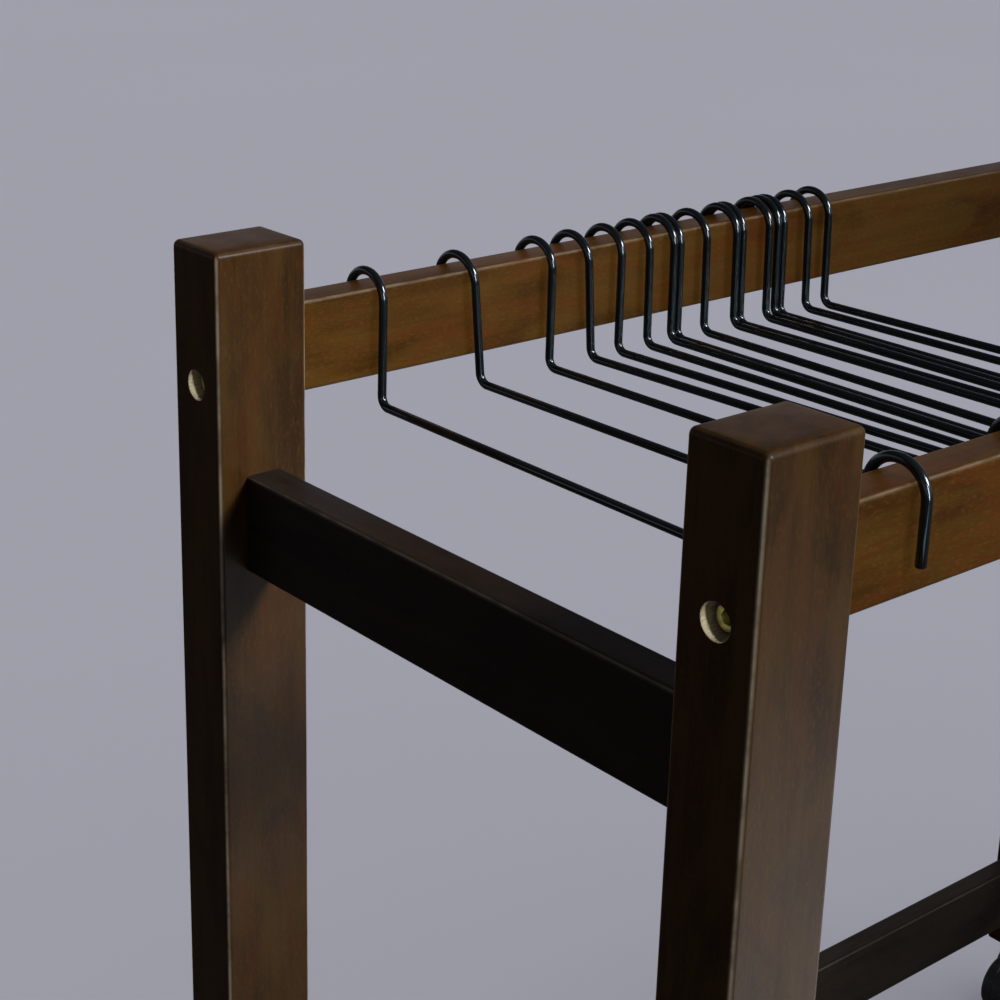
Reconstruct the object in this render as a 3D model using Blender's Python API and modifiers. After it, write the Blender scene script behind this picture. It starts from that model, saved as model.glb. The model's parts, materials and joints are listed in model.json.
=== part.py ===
"""Rolling hanging rack.

A wooden knock-down frame stands on four swivel casters. Two side frames (legs and stretchers,
tenoned and glued) are joined by four long rails, each held at both ends by a bolt and a barrel
nut, with a dowel glued into the rail's end above the bolt to stop it from turning. Loose wires
hook over both top rails and slide along them.

Units are metres. X runs along the rails, -Y is the front, +Z is up. The origin is on the floor,
under the middle of the rack.
"""
import math

import bmesh
import bpy
from mathutils import Matrix, Vector

# Overall size
LENGTH = 0.690
DEPTH = 0.330
HEIGHT = 0.640
CASTER_HEIGHT = 0.052

# Timber sections
LEG_X = 0.045
LEG_Y = 0.0335
TOP_RAIL_THICK = 0.017
TOP_RAIL_HIGH = 0.0405
LOWER_RAIL_THICK = 0.014
LOWER_RAIL_HIGH = 0.044
STRETCHER_THICK = 0.018
STRETCHER_HIGH = 0.044
LEG_EDGE = 0.0025
LEG_CROWN = 0.0009
RAIL_EDGE = 0.002
STRETCHER_EDGE = 0.002

# Heights of the upper faces, measured down from the leg tops
TOP_RAIL_DROP = 0.0295
LOWER_RAIL_DROP = 0.517
TOP_STRETCHER_DROP = 0.0985
LOWER_STRETCHER_DROP = 0.4435

# Fastenings
GAP = 0.0003
BOLT_BELOW_RAIL_TOP = 0.0305
DOWEL_BELOW_RAIL_TOP = 0.013
BOLT_R = 0.003
BOLT_HEAD_R = 0.005
BOLT_HEAD_HIGH = 0.006
BOLT_LENGTH = 0.062
BOLT_CHAMFER = 0.0007
BOLT_SOCKET_R = 0.0028
BOLT_SOCKET_DEEP = 0.0035
BOLT_END_SPACE = 0.004
COUNTERBORE_R = 0.00675
COUNTERBORE_DEEP = 0.012
NUT_R = 0.005
NUT_HIGH = 0.014
NUT_INSET = 0.023
DOWEL_R = 0.004
DOWEL_REACH = 0.018
TENON_THICK = 0.008
TENON_HIGH = 0.028
TENON_REACH = 0.016

# Wires
WIRE_R = 0.002
HOOK_SIDE_GAP = 0.0019
HOOK_TOP_GAP = 0.0036
HOOK_BEND_R = 0.0122
FOOT_BEND_R = 0.005
WIRE_SPAN_DROP = 0.083
WIRE_TAIL_DROP = 0.0585

# Each wire's distance from the left end of the rack: the top of its rear hook,
# the rear end and the front end of its cross-span, and the top of its front hook.
WIRES = [
    (0.0890, 0.0885, 0.0860, 0.0832),
    (0.1400, 0.1455, 0.1500, 0.1500),
    (0.1877, 0.1877, 0.1945, 0.1945),
    (0.2100, 0.2145, 0.2280, 0.2280),
    (0.2322, 0.2324, 0.2430, 0.2430),
    (0.2506, 0.2520, 0.2550, 0.2550),
    (0.2673, 0.2683, 0.2677, 0.2677),
    (0.2717, 0.2727, 0.2721, 0.2721),
    (0.2900, 0.2917, 0.2885, 0.2885),
    (0.3113, 0.3133, 0.3150, 0.3150),
    (0.3158, 0.3178, 0.3245, 0.3245),
    (0.3352, 0.3372, 0.3340, 0.3340),
    (0.3418, 0.3436, 0.3404, 0.3404),
    (0.3462, 0.3480, 0.3475, 0.3475),
    (0.3648, 0.3675, 0.3735, 0.3735),
    (0.3804, 0.3823, 0.3910, 0.3910),
]

# Casters
WHEEL_R = 0.020
WHEEL_HALF_WIDE = 0.0085
WHEEL_BORE_R = 0.0033
WHEEL_EDGE = 0.0025
HUB_RECESS = 0.002
HUB_R = 0.007
TREAD_R = 0.0155
TRAIL = 0.016
AXLE_R = 0.003
AXLE_HEAD_R = 0.005
AXLE_HEAD_HIGH = 0.0015
FORK_INNER_HALF = 0.0095
FORK_OUTER_HALF = 0.0115
FORK_CROWN_HALF = 0.0125
FORK_CROWN_LOW = 0.0420
FORK_CROWN_TOP = 0.0445
FORK_SHOULDER = 0.003
FORK_EYE_R = 0.0065
RACE_R = 0.0110
RACE_TOP = 0.0492
STEM_R = 0.004
STEM_LENGTH = 0.015
STEM_CHAMFER = 0.001
STEM_COLLAR_R = 0.010
STEM_COLLAR_LOW = 0.0495
STEM_NECK_R = 0.003
RIVET_R = 0.005
RIVET_LOW = 0.0402
RIVET_TOP = 0.0417

LEG_TOP = HEIGHT
LEG_BOTTOM = CASTER_HEIGHT
LEG_CENTRE_X = (LENGTH - LEG_X) / 2
LEG_CENTRE_Y = (DEPTH - LEG_Y) / 2
RAIL_HALF = LENGTH / 2 - LEG_X - GAP
STRETCHER_HALF = DEPTH / 2 - LEG_Y - GAP
SIDES = (-1, 1)
SIDE_X = {-1: "left", 1: "right"}
SIDE_Y = {-1: "front", 1: "rear"}
X_AXIS = Vector((1, 0, 0))
Y_AXIS = Vector((0, 1, 0))
Z_AXIS = Vector((0, 0, 1))


def clear_scene():
    for obj in list(bpy.data.objects):
        bpy.data.objects.remove(obj, do_unlink=True)


def collection(name):
    made = bpy.data.collections.new(name)
    bpy.context.scene.collection.children.link(made)
    return made


def material(name, colour, roughness, metallic=0.0):
    made = bpy.data.materials.new(name)
    made.use_nodes = True
    shader = made.node_tree.nodes["Principled BSDF"]
    shader.inputs["Base Color"].default_value = (*colour, 1.0)
    shader.inputs["Roughness"].default_value = roughness
    shader.inputs["Metallic"].default_value = metallic
    return made


def add_object(name, data, mat=None, group=None):
    obj = bpy.data.objects.new(name, data)
    (group or PARTS).objects.link(obj)
    if mat:
        data.materials.append(mat)
    return obj


def mesh_from(name, bm):
    mesh = bpy.data.meshes.new(name)
    bm.to_mesh(mesh)
    bm.free()
    return mesh


def smooth(mesh, angle=40):
    mesh.shade_smooth()
    mesh.set_sharp_from_angle(angle=math.radians(angle))


def add_block(name, size, centre, edge, mat, along=None, crown=0.0):
    """A box with eased edges: every edge, or only the edges that run along one axis."""
    bm = bmesh.new()
    bmesh.ops.create_cube(bm, size=1.0, matrix=Matrix.Diagonal((*size, 1.0)))
    if crown:
        top = max(bm.faces, key=lambda face: face.calc_center_median().z)
        bmesh.ops.translate(bm, verts=top.verts, vec=(0, 0, -crown))
        bmesh.ops.inset_region(bm, faces=[top], thickness=min(size[0], size[1]) / 4, depth=crown)
    edges = []
    for one in bm.edges:
        run = (one.verts[1].co - one.verts[0].co).normalized()
        square = one.calc_face_angle() > math.radians(45)
        if square and (along is None or abs(run.dot(along)) > 0.99):
            edges.append(one)
    bmesh.ops.bevel(bm, geom=edges, offset=edge, segments=2, profile=0.5, affect="EDGES")
    mesh = mesh_from(name, bm)
    smooth(mesh)
    obj = add_object(name, mesh, mat)
    obj.location = centre
    return obj


def cylinders(name, pegs, segments):
    """One mesh of separate cylinders. A peg is its centre, its direction, its radius and its length."""
    bm = bmesh.new()
    for centre, direction, radius, length in pegs:
        turn = Z_AXIS.rotation_difference(Vector(direction)).to_matrix().to_4x4()
        bmesh.ops.create_cone(bm, cap_ends=True, segments=segments, radius1=radius, radius2=radius,
                              depth=length, matrix=Matrix.Translation(centre) @ turn)
    return mesh_from(name, bm)


def boxes(name, blocks):
    """One mesh of separate boxes. A block is its centre and its size."""
    bm = bmesh.new()
    for centre, size in blocks:
        place = Matrix.Translation(centre) @ Matrix.Diagonal((*size, 1.0))
        bmesh.ops.create_cube(bm, size=1.0, matrix=place)
    return mesh_from(name, bm)


def combine(obj, name, mesh, operation="DIFFERENCE"):
    """Cut a mesh out of an object, or join it on."""
    other = add_object(name, mesh, group=CUTTERS)
    other.hide_render = True
    other.display_type = "WIRE"
    modifier = obj.modifiers.new(name, "BOOLEAN")
    modifier.operation = operation
    modifier.solver = "EXACT"
    modifier.object = other


def turned(name, outline, mat, steps):
    """A turned solid about local Z. The outline runs down the outer side as (radius, height)."""
    mesh = bpy.data.meshes.new(name)
    last = len(outline)
    edges = [(i, i + 1) for i in range(last - 1)]
    if outline[0][0] > 0:
        edges.append((last - 1, 0))
    mesh.from_pydata([(radius, 0, height) for radius, height in outline], edges, [])
    obj = add_object(name, mesh, mat)
    screw = obj.modifiers.new("Turn", "SCREW")
    screw.steps = steps
    screw.render_steps = steps
    screw.use_merge_vertices = True
    screw.merge_threshold = 0.00001
    screw.use_smooth_shade = True
    return obj


def rail_levels():
    """Each rail's name, the drop of its upper face, its height and its thickness."""
    return (("top_rail", TOP_RAIL_DROP, TOP_RAIL_HIGH, TOP_RAIL_THICK),
            ("lower_rail", LOWER_RAIL_DROP, LOWER_RAIL_HIGH, LOWER_RAIL_THICK))


def stretcher_levels():
    return (("top_stretcher", TOP_STRETCHER_DROP), ("lower_stretcher", LOWER_STRETCHER_DROP))


def make_legs():
    size = (LEG_X, LEG_Y, LEG_TOP - LEG_BOTTOM)
    for sx in SIDES:
        for sy in SIDES:
            name = f"leg_{SIDE_Y[sy]}_{SIDE_X[sx]}"
            centre = Vector((sx * LEG_CENTRE_X, sy * LEG_CENTRE_Y, (LEG_TOP + LEG_BOTTOM) / 2))
            leg = add_block(name, size, centre, LEG_EDGE, WOOD_LEG, crown=LEG_CROWN)
            outer_x = sx * LENGTH / 2
            inner_x = outer_x - sx * LEG_X
            inner_y = sy * (DEPTH / 2 - LEG_Y)
            counterbores = []
            holes = [((centre.x, centre.y, LEG_BOTTOM), Z_AXIS, STEM_R + GAP, 2 * (STEM_LENGTH + GAP))]
            for _, drop, _, _ in rail_levels():
                bolt_z = LEG_TOP - drop - BOLT_BELOW_RAIL_TOP
                dowel_z = LEG_TOP - drop - DOWEL_BELOW_RAIL_TOP
                bolt_mouth = (outer_x, centre.y, bolt_z)
                dowel_mouth = (inner_x, centre.y, dowel_z)
                counterbores.append((bolt_mouth, X_AXIS, COUNTERBORE_R, 2 * COUNTERBORE_DEEP))
                holes.append((bolt_mouth, X_AXIS, BOLT_R + GAP, 3 * LEG_X))
                holes.append((dowel_mouth, X_AXIS, DOWEL_R + GAP, 2 * (DOWEL_REACH + GAP)))
            mortises = []
            for _, drop in stretcher_levels():
                middle = (centre.x, inner_y, LEG_TOP - drop - STRETCHER_HIGH / 2)
                mortise = (TENON_THICK + 2 * GAP, 2 * (TENON_REACH + GAP), TENON_HIGH + 2 * GAP)
                mortises.append((middle, mortise))
            combine(leg, name + "_counterbores", cylinders("counterbores", counterbores, 16))
            combine(leg, name + "_holes", cylinders("holes", holes, 12))
            combine(leg, name + "_mortises", boxes("mortises", mortises))


def make_rails():
    for kind, drop, high, thick in rail_levels():
        top = LEG_TOP - drop
        bolt_z = top - BOLT_BELOW_RAIL_TOP
        nut_top = bolt_z + NUT_HIGH / 2 + GAP
        bolt_deep = COUNTERBORE_DEEP + BOLT_LENGTH - BOLT_HEAD_HIGH + BOLT_END_SPACE - LEG_X
        for sy in SIDES:
            name = f"{kind}_{SIDE_Y[sy]}"
            y = sy * LEG_CENTRE_Y
            rail = add_block(name, (2 * RAIL_HALF, thick, high), (0, y, top - high / 2),
                             RAIL_EDGE, WOOD_RAIL, along=X_AXIS)
            nut_holes = []
            bolt_holes = []
            dowels = []
            for sx in SIDES:
                end = sx * RAIL_HALF
                nut_x = end - sx * NUT_INSET
                nut_mouth = (nut_x, y, top - high)
                nut_holes.append((nut_mouth, Z_AXIS, NUT_R + GAP, 2 * (nut_top - top + high)))
                bolt_holes.append(((end, y, bolt_z), X_AXIS, BOLT_R + GAP, 2 * bolt_deep))
                dowels.append(((end, y, top - DOWEL_BELOW_RAIL_TOP), X_AXIS, DOWEL_R, 2 * DOWEL_REACH))
            combine(rail, name + "_dowels", cylinders("dowels", dowels, 12), "UNION")
            combine(rail, name + "_nut_holes", cylinders("nut_holes", nut_holes, 16))
            combine(rail, name + "_bolt_holes", cylinders("bolt_holes", bolt_holes, 12))


def make_stretchers():
    tenons = (TENON_THICK, 2 * (STRETCHER_HALF + TENON_REACH), TENON_HIGH)
    for kind, drop in stretcher_levels():
        for sx in SIDES:
            name = f"{kind}_{SIDE_X[sx]}"
            centre = (sx * LEG_CENTRE_X, 0, LEG_TOP - drop - STRETCHER_HIGH / 2)
            size = (STRETCHER_THICK, 2 * STRETCHER_HALF, STRETCHER_HIGH)
            piece = add_block(name, size, centre, STRETCHER_EDGE, WOOD_STRETCHER, along=Y_AXIS)
            combine(piece, name + "_tenons", boxes("tenons", [(centre, tenons)]), "UNION")


def make_fasteners():
    """A socket-head bolt in each counterbore, and a barrel nut across each rail's end."""
    outline = [
        (0, 0),
        (BOLT_HEAD_R - BOLT_CHAMFER, 0),
        (BOLT_HEAD_R, -BOLT_CHAMFER),
        (BOLT_HEAD_R, -BOLT_HEAD_HIGH),
        (BOLT_R, -BOLT_HEAD_HIGH),
        (BOLT_R, BOLT_CHAMFER - BOLT_LENGTH),
        (BOLT_R - BOLT_CHAMFER, -BOLT_LENGTH),
        (0, -BOLT_LENGTH),
    ]
    for kind, drop, _, _ in rail_levels():
        level = kind.removesuffix("_rail")
        bolt_z = LEG_TOP - drop - BOLT_BELOW_RAIL_TOP
        for sx in SIDES:
            head_x = sx * (LENGTH / 2 - COUNTERBORE_DEEP + BOLT_HEAD_HIGH + GAP)
            for sy in SIDES:
                place = f"{level}_{SIDE_Y[sy]}_{SIDE_X[sx]}"
                y = sy * LEG_CENTRE_Y
                bolt = turned("bolt_" + place, outline, ZINC, 12)
                bolt.location = (head_x, y, bolt_z)
                bolt.rotation_euler.y = sx * math.pi / 2
                socket = [((head_x, y, bolt_z), X_AXIS, BOLT_SOCKET_R, 2 * BOLT_SOCKET_DEEP)]
                combine(bolt, place + "_socket", cylinders("socket", socket, 6))
                middle = (sx * (RAIL_HALF - NUT_INSET), y, bolt_z)
                mesh = cylinders("barrel_nut", [(middle, Z_AXIS, NUT_R, NUT_HIGH)], 16)
                smooth(mesh)
                nut = add_object("barrel_nut_" + place, mesh, ZINC)
                thread = [(middle, X_AXIS, BOLT_R + GAP, 4 * NUT_R)]
                combine(nut, place + "_thread", cylinders("thread", thread, 12))


def rounded_path(corners, radii, steps):
    """A polyline through the corners, with each inner corner turned at its radius."""
    path = [Vector(corners[0])]
    for before, corner, after, radius, count in zip(corners, corners[1:], corners[2:], radii, steps):
        corner = Vector(corner)
        back = (Vector(before) - corner).normalized()
        ahead = (Vector(after) - corner).normalized()
        half = back.angle(ahead) / 2
        middle = corner + (back + ahead).normalized() * radius / math.sin(half)
        start = corner + back * radius / math.tan(half)
        end = corner + ahead * radius / math.tan(half)
        for i in range(count + 1):
            path.append(middle + radius * (start - middle).slerp(end - middle, i / count))
    path.append(Vector(corners[-1]))
    return path


def wire_path(places):
    """The wire's centreline, from the rear tail over both rails to the front tail."""
    rail_top = LEG_TOP - TOP_RAIL_DROP
    arch_z = rail_top + HOOK_TOP_GAP + WIRE_R
    tail_z = LEG_TOP - WIRE_TAIL_DROP
    span_z = LEG_TOP - WIRE_SPAN_DROP
    reach = TOP_RAIL_THICK / 2 + HOOK_SIDE_GAP + WIRE_R
    outer_y = LEG_CENTRE_Y + reach
    inner_y = LEG_CENTRE_Y - reach
    x_rear_top, x_rear, x_front, x_front_top = (x - LENGTH / 2 for x in places)
    corners = [
        (x_rear_top, outer_y, tail_z),
        (x_rear_top, outer_y, arch_z),
        (x_rear_top, inner_y, arch_z),
        (x_rear, inner_y, span_z),
        (x_front, -inner_y, span_z),
        (x_front_top, -inner_y, arch_z),
        (x_front_top, -outer_y, arch_z),
        (x_front_top, -outer_y, tail_z),
    ]
    radii = [HOOK_BEND_R, HOOK_BEND_R, FOOT_BEND_R, FOOT_BEND_R, HOOK_BEND_R, HOOK_BEND_R]
    return rounded_path(corners, radii, [4, 4, 2, 2, 4, 4])


def make_wires():
    for number, places in enumerate(WIRES, start=1):
        name = f"wire_{number:02d}"
        path = wire_path(places)
        curve = bpy.data.curves.new(name, "CURVE")
        curve.dimensions = "3D"
        curve.bevel_depth = WIRE_R
        curve.bevel_resolution = 2
        curve.use_fill_caps = True
        spline = curve.splines.new("POLY")
        spline.points.add(len(path) - 1)
        for point, place in zip(spline.points, path):
            point.co = (*place, 1.0)
            point.radius = 1.0
        add_object(name, curve, BLACK_STEEL)


def fork_outline():
    """The fork's side view: a wide crown that narrows to a round eye, trailing towards +X."""
    shoulder = FORK_CROWN_LOW - FORK_SHOULDER
    points = [(-FORK_CROWN_HALF, FORK_CROWN_TOP), (-FORK_CROWN_HALF, shoulder)]
    for degrees in range(-150, 31, 30):
        angle = math.radians(degrees)
        points.append((TRAIL + FORK_EYE_R * math.cos(angle), WHEEL_R + FORK_EYE_R * math.sin(angle)))
    points += [(FORK_CROWN_HALF, shoulder), (FORK_CROWN_HALF, FORK_CROWN_TOP)]
    return points


def fork_side_mesh():
    """The fork's outline extruded across its full width, as a closed mesh standing in XZ."""
    outline = fork_outline()
    curve = bpy.data.curves.new("fork_side", "CURVE")
    curve.dimensions = "2D"
    curve.fill_mode = "BOTH"
    curve.extrude = FORK_OUTER_HALF
    spline = curve.splines.new("POLY")
    spline.points.add(len(outline) - 1)
    spline.use_cyclic_u = True
    for point, (x, z) in zip(spline.points, outline):
        point.co = (x, z, 0, 1)
    flat = add_object("fork_side", curve)
    graph = bpy.context.evaluated_depsgraph_get()
    mesh = bpy.data.meshes.new_from_object(flat.evaluated_get(graph))
    bpy.data.objects.remove(flat, do_unlink=True)
    bm = bmesh.new()
    bm.from_mesh(mesh)
    bmesh.ops.remove_doubles(bm, verts=bm.verts, dist=0.00001)
    bmesh.ops.rotate(bm, cent=(0, 0, 0), matrix=Matrix.Rotation(math.pi / 2, 3, "X"), verts=bm.verts)
    bmesh.ops.recalc_face_normals(bm, faces=bm.faces)
    return mesh_from("fork_side", bm)


def add_fork(name, swivel):
    """Two arms under a crown, with the bearing race on top and holes for the stem and the axle."""
    mesh = fork_side_mesh()
    smooth(mesh)
    fork = add_object(name, mesh, BLACK_PLATE)
    fork.parent = swivel
    race_low = FORK_CROWN_TOP - GAP
    race = [((0, 0, (RACE_TOP + race_low) / 2), Z_AXIS, RACE_R, RACE_TOP - race_low)]
    slot = [((0, 0, FORK_CROWN_LOW / 2), (6 * WHEEL_R, 2 * FORK_INNER_HALF, FORK_CROWN_LOW))]
    neck_hole = ((0, 0, RACE_TOP), Z_AXIS, STEM_NECK_R + GAP, 4 * (RACE_TOP - FORK_CROWN_LOW))
    eye_hole = ((TRAIL, 0, WHEEL_R), Y_AXIS, AXLE_R + GAP, 4 * FORK_OUTER_HALF)
    combine(fork, name + "_race", cylinders("race", race, 20), "UNION")
    combine(fork, name + "_slot", boxes("slot", slot))
    combine(fork, name + "_neck", cylinders("neck", [neck_hole], 12))
    combine(fork, name + "_eye", cylinders("eye", [eye_hole], 12))
    for cutter in (modifier.object for modifier in fork.modifiers):
        cutter.parent = swivel


def make_casters():
    half = WHEEL_HALF_WIDE
    recess = half - HUB_RECESS
    wheel_outline = [
        (WHEEL_BORE_R, half),
        (HUB_R, half),
        (HUB_R, recess),
        (TREAD_R, recess),
        (TREAD_R, half),
        (WHEEL_R - WHEEL_EDGE, half),
        (WHEEL_R, half - WHEEL_EDGE),
    ]
    wheel_outline += [(radius, -height) for radius, height in reversed(wheel_outline)]
    axle_end = FORK_OUTER_HALF + GAP
    head_end = axle_end + AXLE_HEAD_HIGH
    axle_outline = [(0, head_end), (AXLE_HEAD_R, head_end), (AXLE_HEAD_R, axle_end), (AXLE_R, axle_end)]
    axle_outline += [(radius, -height) for radius, height in reversed(axle_outline)]
    collar_top = LEG_BOTTOM - GAP
    stem_outline = [
        (0, LEG_BOTTOM + STEM_LENGTH),
        (STEM_R - STEM_CHAMFER, LEG_BOTTOM + STEM_LENGTH),
        (STEM_R, LEG_BOTTOM + STEM_LENGTH - STEM_CHAMFER),
        (STEM_R, collar_top),
        (STEM_COLLAR_R, collar_top),
        (STEM_COLLAR_R, STEM_COLLAR_LOW),
        (STEM_NECK_R, STEM_COLLAR_LOW),
        (STEM_NECK_R, RIVET_TOP),
        (RIVET_R, RIVET_TOP),
        (RIVET_R, RIVET_LOW),
        (0, RIVET_LOW),
    ]
    for sx in SIDES:
        for sy in SIDES:
            name = f"caster_{SIDE_Y[sy]}_{SIDE_X[sx]}"
            swivel = bpy.data.objects.new(name + "_swivel", None)
            PARTS.objects.link(swivel)
            swivel.location = (sx * LEG_CENTRE_X, sy * LEG_CENTRE_Y, 0)
            swivel.rotation_euler.z = math.pi if sx > 0 else 0.0
            stem = turned(name + "_stem", stem_outline, ZINC, 12)
            stem.location = swivel.location
            add_fork(name + "_fork", swivel)
            for part, outline, mat, steps in (("_axle", axle_outline, ZINC, 12),
                                              ("_wheel", wheel_outline, BLACK_RUBBER, 24)):
                piece = turned(name + part, outline, mat, steps)
                piece.parent = swivel
                piece.location = (TRAIL, 0, WHEEL_R)
                piece.rotation_euler.x = math.pi / 2


clear_scene()
PARTS = collection("hanging_rack")
CUTTERS = collection("hanging_rack_cutters")
WOOD_LEG = material("walnut_leg", (0.085, 0.045, 0.022), 0.38)
WOOD_RAIL = material("walnut_rail", (0.115, 0.058, 0.024), 0.38)
WOOD_STRETCHER = material("walnut_stretcher", (0.075, 0.040, 0.024), 0.38)
BLACK_STEEL = material("black_coated_steel", (0.012, 0.013, 0.016), 0.3, 0.4)
BLACK_PLATE = material("black_plate", (0.015, 0.016, 0.018), 0.4, 0.5)
BLACK_RUBBER = material("black_rubber", (0.018, 0.019, 0.021), 0.55)
ZINC = material("yellow_zinc", (0.60, 0.56, 0.34), 0.35, 0.9)
make_legs()
make_rails()
make_stretchers()
make_fasteners()
make_wires()
make_casters()
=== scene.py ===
"""Finished looks of the rolling hanging rack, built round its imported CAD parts.

Units are metres, +Z is up and the rack runs along X. Every piece is built in place, so its
object coordinates are the rack's own. Each piece takes its grain from its own part of the noise.
"""

import json
import math

import bmesh
import bpy
from mathutils import Matrix, Vector

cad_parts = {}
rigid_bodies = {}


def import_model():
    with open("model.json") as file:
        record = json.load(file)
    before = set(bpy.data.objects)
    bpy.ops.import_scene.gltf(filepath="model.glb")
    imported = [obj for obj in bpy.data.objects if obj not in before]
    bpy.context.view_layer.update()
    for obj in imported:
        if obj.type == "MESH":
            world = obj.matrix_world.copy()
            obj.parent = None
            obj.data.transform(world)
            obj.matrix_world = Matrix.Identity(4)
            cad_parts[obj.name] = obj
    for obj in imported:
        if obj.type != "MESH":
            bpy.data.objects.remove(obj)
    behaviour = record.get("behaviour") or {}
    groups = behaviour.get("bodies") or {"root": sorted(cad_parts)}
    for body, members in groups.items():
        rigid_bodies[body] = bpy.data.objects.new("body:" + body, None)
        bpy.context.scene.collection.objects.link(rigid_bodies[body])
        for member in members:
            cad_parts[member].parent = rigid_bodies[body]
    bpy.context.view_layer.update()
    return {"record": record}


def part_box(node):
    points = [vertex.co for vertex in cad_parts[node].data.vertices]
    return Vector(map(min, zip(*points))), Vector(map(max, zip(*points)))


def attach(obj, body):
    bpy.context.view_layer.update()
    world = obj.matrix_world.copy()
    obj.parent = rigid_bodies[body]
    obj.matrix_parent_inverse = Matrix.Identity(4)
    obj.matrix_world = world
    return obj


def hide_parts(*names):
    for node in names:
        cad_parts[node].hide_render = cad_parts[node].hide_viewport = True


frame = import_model()

CAMERA_PLACE = (-0.76717, -0.53032, 0.83375)
CAMERA_TURN = (71.6395, -0.583, -37.8285)
CAMERA_LENS = 71.851
CAMERA_SHIFT = (0.1, -0.09)
CAMERA_SENSOR = 36
CAMERA_CLIP = (0.05, 200)

# Studio
KEY_PLACE = (1.3, -2.6, 2.1)
SPOT_PLACE = (0.9, -2.2, 2.15)
SPOT_AIM = (-0.39, 0.26, 0.62)
BACK_FILL_PLACE = (1.6, 2.4, 0.7)
FLOOR_WASH_PLACE = (0.2, -0.3, 3.0)
BORE_LIGHT_PLACE = (-0.25, -1.0, 0.60)
BOLT_LIGHT_PLACE = (-0.8, -1.0, 0.45)
LOW_CARD_PLACE = (0.15, -0.51, 0.01)
LOW_CARD_AIM = (0.15, -0.51, 1.0)
STRIP_PLACE = (-0.42, -2.2, 1.0)
STRIP_AIM = (-0.3, 0.0, 1.0)
WIRE_CARD_PLACE = (-0.5, -1.35, 0.01)
WIRE_CARD_AIM = (-0.5, -1.35, 1.0)
ORIGIN = (0, 0, 0)
WARM = (1.0, 0.985, 0.96)
CREAM = (1.0, 0.99, 0.95)
WHITE = (1.0, 1.0, 1.0)
FLOOR_R = 60
FLOOR_SIDES = 96
HORIZON_GREY = (0.342, 0.342, 0.392, 1.0)

# The light from all round, from straight down (0) to straight up (1), with a pale ring along the horizon.
SURROUNDINGS = (
    (0.470, (0.045, 0.045, 0.048, 1.0)),
    (0.480, HORIZON_GREY),
    (0.605, HORIZON_GREY),
    (0.700, (0.04, 0.04, 0.048, 1.0)),
)

# Wooden frame
LENGTH = 0.690
HEIGHT = 0.640
LEG_X = 0.045
LEG_CENTRE_Y = 0.14825
LEG_EDGE = 0.0025
LEG_EDGE_STEPS = 6
LEG_CROWN = 0.0009
RAIL_EDGE = 0.002
STRETCHER_EDGE = 0.002
EDGE_STEPS = 4
RAIL_END = 0.2997
STRETCHER_END = 0.1312
BOLT_LEVELS = (0.580, 0.0925)
NUT_X = 0.2767
COUNTERBORE_R = 0.00675
COUNTERBORE_DEEP = 0.012
BORE_CLEAR = 0.00005
BORE_WALL = 0.0003
BORE_FLOOR = 0.0001
BORE_LIP = 0.0004
BORE_STEPS = 64
HOLE_STEPS = 24

# Fasteners
BOLT_R = 0.003
BOLT_HEAD_R = 0.005
BOLT_HEAD_HIGH = 0.006
BOLT_LENGTH = 0.062
BOLT_SOCKET_R = 0.0028
BOLT_SOCKET_DEEP = 0.0035
NUT_R = 0.005
NUT_HIGH = 0.014
NUT_SLOT_WIDE = 0.0012
NUT_SLOT_DEEP = 0.0015
FASTENER_EASE = 0.0005
FASTENER_STEPS = 40
SOCKET_SIDES = 6
FIT = 0.0003

# Wires: how far from the rack's left end each one's rear hook, rear foot, front foot and front hook are.
WIRES = [
    (0.0890, 0.0885, 0.0860, 0.0832),
    (0.1400, 0.1455, 0.1500, 0.1500),
    (0.1877, 0.1877, 0.1945, 0.1945),
    (0.2100, 0.2145, 0.2280, 0.2280),
    (0.2322, 0.2324, 0.2430, 0.2430),
    (0.2506, 0.2520, 0.2550, 0.2550),
    (0.2673, 0.2683, 0.2677, 0.2677),
    (0.2717, 0.2727, 0.2721, 0.2721),
    (0.2900, 0.2917, 0.2885, 0.2885),
    (0.3113, 0.3133, 0.3150, 0.3150),
    (0.3158, 0.3178, 0.3245, 0.3245),
    (0.3352, 0.3372, 0.3340, 0.3340),
    (0.3418, 0.3436, 0.3404, 0.3404),
    (0.3462, 0.3480, 0.3475, 0.3475),
    (0.3648, 0.3675, 0.3735, 0.3735),
    (0.3804, 0.3823, 0.3910, 0.3910),
]
WIRE_R = 0.002
WIRE_TIP = 0.0004
WIRE_TIP_SCALE = 0.8
WIRE_ROUNDNESS = 5
WIRE_BEND_STEPS = 10
HOOK_REACH = 0.0124
HOOK_TOP_Z = 0.6161
WIRE_SPAN_Z = 0.557
WIRE_TAIL_Z = 0.5815
HOOK_BEND_R = 0.0122
FOOT_BEND_R = 0.005

# Casters
CASTER_X = 0.3225
TRAIL = 0.016
WHEEL_R = 0.020
WHEEL_HALF_WIDE = 0.0085
WHEEL_EASE = 0.0004
WHEEL_STEPS = 72
WHEEL_BORE_R = 0.0033
HUB_R = 0.0070
DISC_DEEP = 0.0020
RING_INNER_R = 0.0130
RING_R = 0.0133
RING_OUTER_R = 0.0136
RING_DEEP = 0.0024
TYRE_INNER_R = 0.0155
TYRE_SHOULDER = 0.0025
TYRE_CORNER = 0.0007
GROOVE_HALF_WIDE = 0.0006
GROOVE_FLOOR_HALF_WIDE = 0.0002
GROOVE_DEEP = 0.0004
FORK_INNER_HALF = 0.0095
FORK_OUTER_HALF = 0.0115
FORK_CROWN_HALF = 0.0125
FORK_CROWN_LOW = 0.0420
FORK_CROWN_TOP = 0.0445
FORK_SHOULDER = 0.003
FORK_EYE_R = 0.0065
FORK_EYE_ARC = range(-150, 31, 10)
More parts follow.
